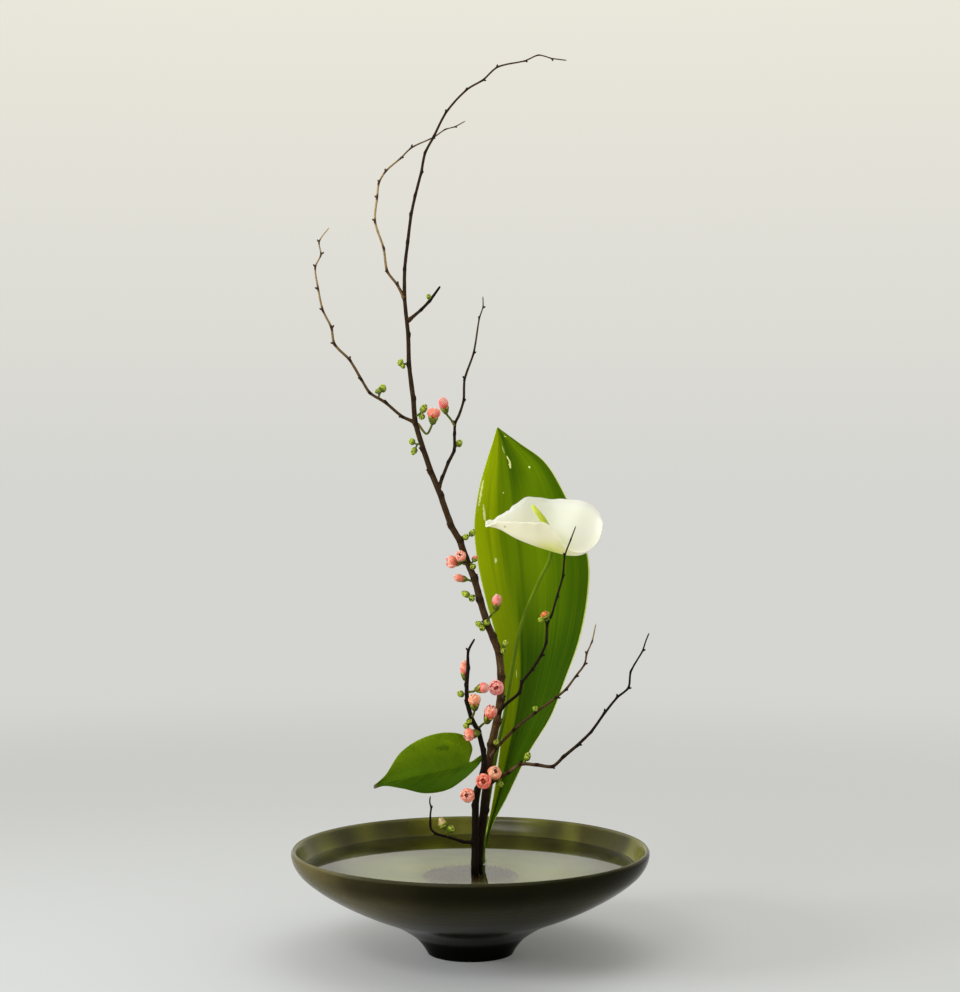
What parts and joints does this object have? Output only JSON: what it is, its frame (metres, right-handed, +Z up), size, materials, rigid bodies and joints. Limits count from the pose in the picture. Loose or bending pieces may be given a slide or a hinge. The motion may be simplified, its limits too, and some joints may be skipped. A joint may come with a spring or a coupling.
{
  "type": "ikebana arrangement",
  "caption": "Ikebana arrangement: a wide footed bowl of water with a pin holder, a tall flowering quince branch, a strap leaf, a round leaf and a white anthurium.",
  "frame": {"origin": "on the surface that the bowl stands on, under the bowl's axis", "axes": "+Z up the bowl's axis and the branch, +Y away from the front view, +X to the right in the front view"},
  "size_m": [0.3, 0.3, 0.7449],
  "materials": {
    "glaze": "gloss",
    "water": "gloss",
    "brass": "satin",
    "bark": "matte",
    "petal": "satin",
    "bud": "satin",
    "leaf": "satin",
    "stalk": "satin",
    "spathe": "satin",
    "spadix": "matte"
  },
  "bodies": {
    "root": {"anthurium_spadix": "spadix", "anthurium_spathe": "spathe", "anthurium_stem": "stalk", "blossom_01": "petal", "blossom_02": "petal", "blossom_03": "petal", "blossom_04": "petal", "blossom_05": "petal", "blossom_06": "petal", "blossom_07": "petal", "blossom_08": "petal", "blossom_09": "petal", "blossom_10": "petal", "blossom_11": "petal", "blossom_12": "petal", "blossom_13": "petal", "blossom_14": "petal", "blossom_15": "petal", "bowl": "glaze", "calyx_01": "bud", "calyx_02": "bud", "calyx_03": "bud", "calyx_04": "bud", "calyx_05": "bud", "calyx_06": "bud", "calyx_07": "bud", "calyx_08": "bud", "calyx_09": "bud", "calyx_10": "bud", "calyx_11": "bud", "calyx_12": "bud", "calyx_13": "bud", "calyx_14": "bud", "calyx_15": "bud", "leaf_buds_01": "bud", "leaf_buds_02": "bud", "leaf_buds_03": "bud", "leaf_buds_04": "bud", "leaf_buds_05": "bud", "leaf_buds_06": "bud", "leaf_buds_07": "bud", "leaf_buds_08": "bud", "leaf_buds_09": "bud", "leaf_buds_10": "bud", "leaf_buds_11": "bud", "leaf_buds_12": "bud", "leaf_buds_13": "bud", "leaf_buds_14": "bud", "leaf_buds_15": "bud", "leaf_buds_16": "bud", "leaf_buds_17": "bud", "leaf_buds_18": "bud", "leaf_buds_19": "bud", "pin_holder": "brass", "quince_branch": "bark", "quince_second_stem": "bark", "round_leaf": "leaf", "strap_leaf": "leaf", "water": "water"}
  },
  "joints": []
}
